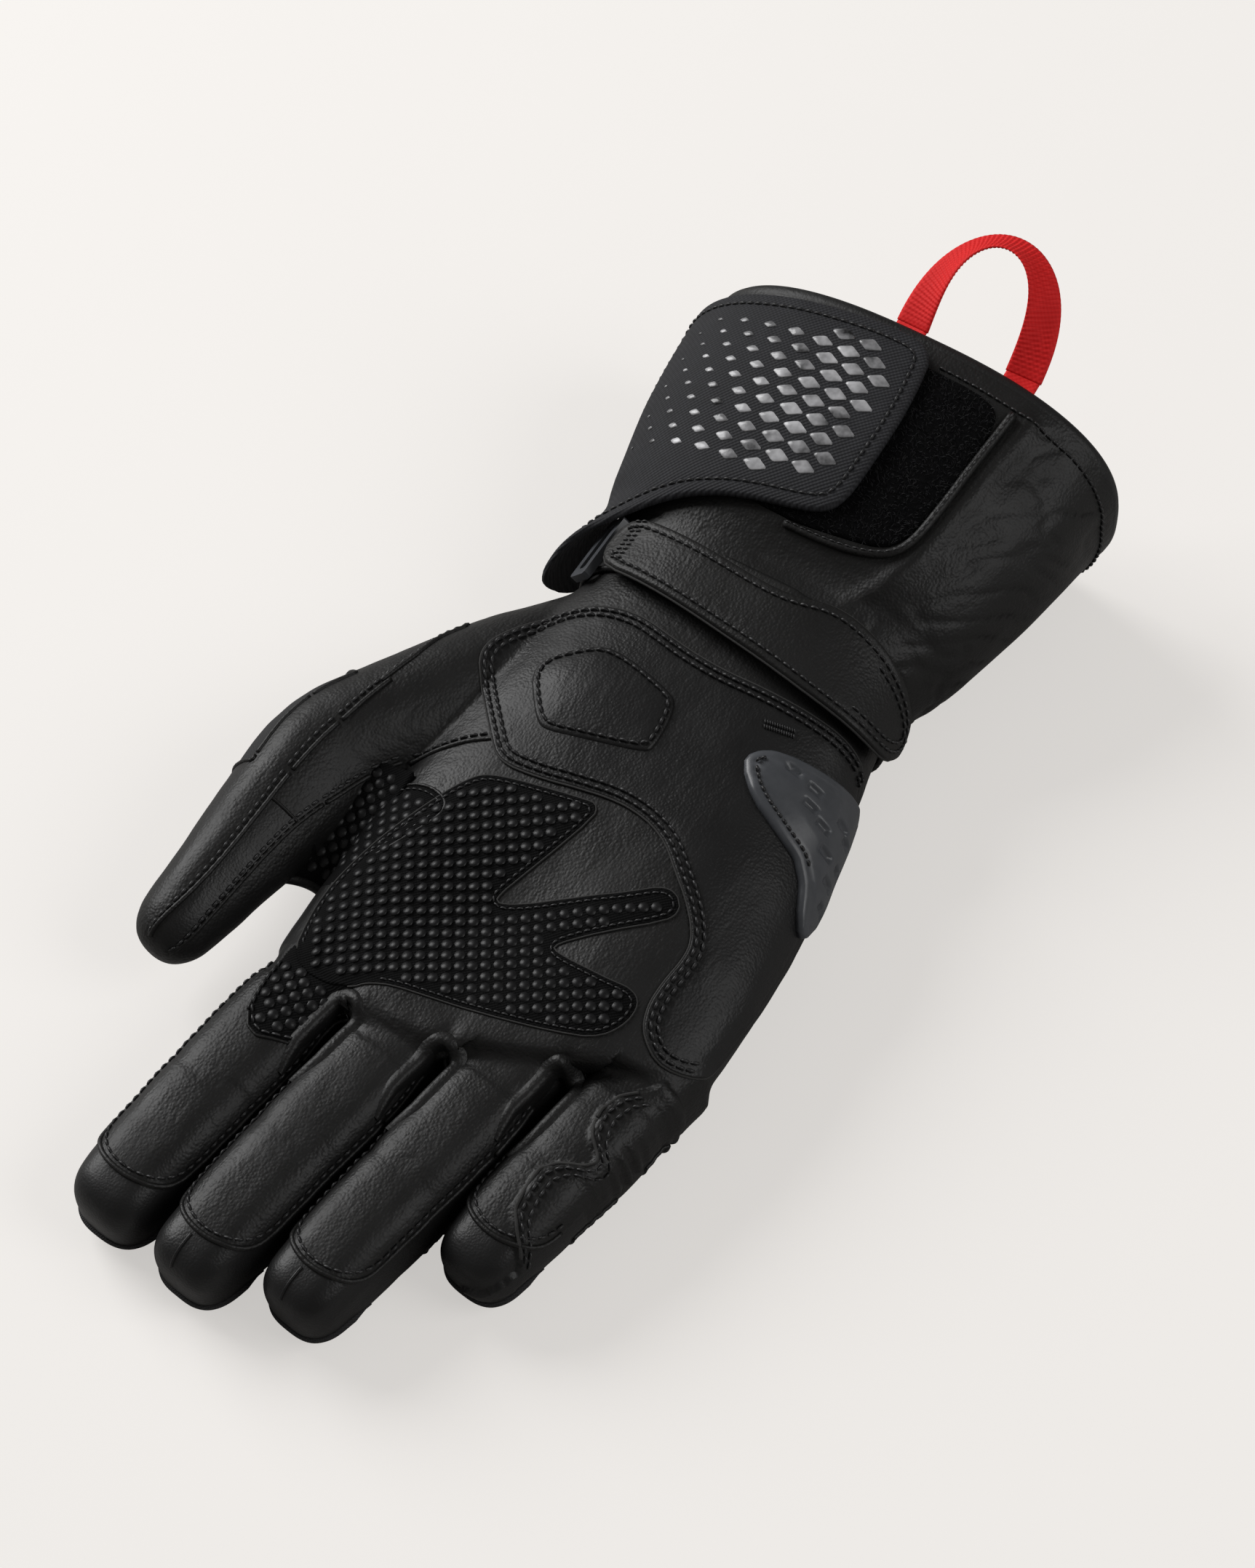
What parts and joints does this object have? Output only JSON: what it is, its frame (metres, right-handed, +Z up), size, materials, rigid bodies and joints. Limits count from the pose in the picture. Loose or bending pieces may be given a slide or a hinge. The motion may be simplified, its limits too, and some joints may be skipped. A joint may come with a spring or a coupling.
{
  "type": "gauntlet glove",
  "caption": "Long-cuff leather riding glove for the right hand, lying palm up, with bending fingers, a wrist strap, a cuff flap and a pull loop.",
  "frame": {"origin": "on the flat underside of the back panel, below the middle of the palm, where the glove rests", "axes": "+Y to the cuff mouth, +X to the little finger's side, +Z up out of the palm"},
  "size_m": [0.168, 0.3695, 0.0965],
  "materials": {
    "leather": "black grained leather",
    "smooth_leather": "black smooth leather, satin",
    "stretch_fabric": "black ribbed stretch cloth",
    "grip_rubber": "dark rubber dots on cloth",
    "hard_plastic": "dark grey moulded plastic",
    "hook_and_loop": "black pile and hook tape",
    "lining_cloth": "black brushed lining",
    "flap_film": "coated synthetic leather with a glossy print",
    "red_webbing": "red ribbed webbing"
  },
  "bodies": {
    "hand": {"palm_panel": "leather", "back_panel": "leather", "heel_overlay": "smooth_leather", "thenar_pad": "smooth_leather", "grip_patch": "grip_rubber", "palm_slider": "hard_plastic", "knuckle_guard": "hard_plastic", "hand_lining": "lining_cloth", "cuff_palm_panel": "leather", "cuff_back_panel": "leather", "cuff_lining": "lining_cloth", "cuff_binding": "leather", "cuff_pile_patch": "hook_and_loop", "wrist_pile_patch": "hook_and_loop", "buckle_ring": "hard_plastic", "thumb_base": "leather", "thumb_knuckle_gusset": "stretch_fabric", "index_knuckle_gusset": "stretch_fabric", "middle_knuckle_gusset": "stretch_fabric", "ring_knuckle_gusset": "stretch_fabric", "little_knuckle_gusset": "stretch_fabric"},
    "index_lower": {"index_lower_stall": "leather", "index_middle_gusset": "stretch_fabric"},
    "index_upper": {"index_upper_stall": "leather", "index_tip_cap": "smooth_leather"},
    "middle_lower": {"middle_lower_stall": "leather", "middle_middle_gusset": "stretch_fabric"},
    "middle_upper": {"middle_upper_stall": "leather", "middle_tip_cap": "smooth_leather"},
    "ring_lower": {"ring_lower_stall": "leather", "ring_middle_gusset": "stretch_fabric"},
    "ring_upper": {"ring_upper_stall": "leather", "ring_tip_cap": "smooth_leather"},
    "little_lower": {"little_lower_stall": "leather", "little_middle_gusset": "stretch_fabric"},
    "little_upper": {"little_upper_stall": "leather", "little_tip_cap": "smooth_leather"},
    "thumb_lower": {"thumb_lower_stall": "leather", "thumb_joint_gusset": "stretch_fabric"},
    "thumb_upper": {"thumb_upper_stall": "leather", "thumb_tip_cap": "smooth_leather"},
    "flap": {"cuff_flap": "flap_film", "flap_hook_tape": "hook_and_loop"},
    "strap": {"wrist_strap": "smooth_leather", "strap_hook_tape": "hook_and_loop"},
    "loop": {"pull_loop": "red_webbing"}
  },
  "joints": [
    {"name": "index_knuckle", "type": "hinge", "parent": "hand", "child": "index_lower", "pos_m": [-0.03864, -0.10097, 0.03417], "axis": [-0.9893, 0.1461, 0], "range_deg": [-8, 70], "deforming": ["index_knuckle_gusset"]},
    {"name": "index_middle", "type": "hinge", "parent": "index_lower", "child": "index_upper", "pos_m": [-0.04416, -0.1383, 0.03133], "axis": [-0.9893, 0.1461, 0], "range_deg": [-4, 80], "deforming": ["index_middle_gusset"]},
    {"name": "middle_knuckle", "type": "hinge", "parent": "hand", "child": "middle_lower", "pos_m": [-0.00875, -0.10493, 0.03417], "axis": [-0.9877, 0.1564, 0], "range_deg": [-8, 70], "deforming": ["middle_knuckle_gusset"]},
    {"name": "middle_middle", "type": "hinge", "parent": "middle_lower", "child": "middle_upper", "pos_m": [-0.01465, -0.1422, 0.03134], "axis": [-0.9877, 0.1564, 0], "range_deg": [-4, 80], "deforming": ["middle_middle_gusset"]},
    {"name": "ring_knuckle", "type": "hinge", "parent": "hand", "child": "ring_lower", "pos_m": [0.02135, -0.09793, 0.03397], "axis": [-0.9866, 0.1633, 0], "range_deg": [-8, 70], "deforming": ["ring_knuckle_gusset"]},
    {"name": "ring_middle", "type": "hinge", "parent": "ring_lower", "child": "ring_upper", "pos_m": [0.01518, -0.13516, 0.03114], "axis": [-0.9866, 0.1633, 0], "range_deg": [-4, 80], "deforming": ["ring_middle_gusset"]},
    {"name": "little_knuckle", "type": "hinge", "parent": "hand", "child": "little_lower", "pos_m": [0.05226, -0.08289, 0.03197], "axis": [-0.9888, 0.1495, 0], "range_deg": [-8, 70], "deforming": ["little_knuckle_gusset"]},
    {"name": "little_middle", "type": "hinge", "parent": "little_lower", "child": "little_upper", "pos_m": [0.0478, -0.11239, 0.02966], "axis": [-0.9888, 0.1495, 0], "range_deg": [-4, 80], "deforming": ["little_middle_gusset"]},
    {"name": "thumb_knuckle", "type": "hinge", "parent": "hand", "child": "thumb_lower", "pos_m": [-0.06715, -0.04428, 0.04105], "axis": [-0.7845, 0.1959, 0.5884], "range_deg": [-6, 30], "deforming": ["thumb_knuckle_gusset"]},
    {"name": "thumb_joint", "type": "hinge", "parent": "thumb_lower", "child": "thumb_upper", "pos_m": [-0.06871, -0.06927, 0.0396], "axis": [-0.7998, 0.021, 0.5999], "range_deg": [-6, 40], "deforming": ["thumb_joint_gusset"]},
    {"name": "flap_hinge", "type": "hinge", "parent": "hand", "child": "flap", "pos_m": [-0.05943, 0.108, 0.03073], "axis": [0.1526, -0.9365, -0.3156], "range_deg": [0, 110]},
    {"name": "strap_hinge", "type": "hinge", "parent": "hand", "child": "strap", "pos_m": [-0.04084, 0.056, 0.04695], "axis": [-0.0108, -0.9944, -0.1051], "range_deg": [0, 85]},
    {"name": "loop_hinge", "type": "hinge", "parent": "hand", "child": "loop", "pos_m": [0.018, 0.1511, 0.0718], "axis": [1, 0, 0], "range_deg": [-30, 45]}
  ]
}
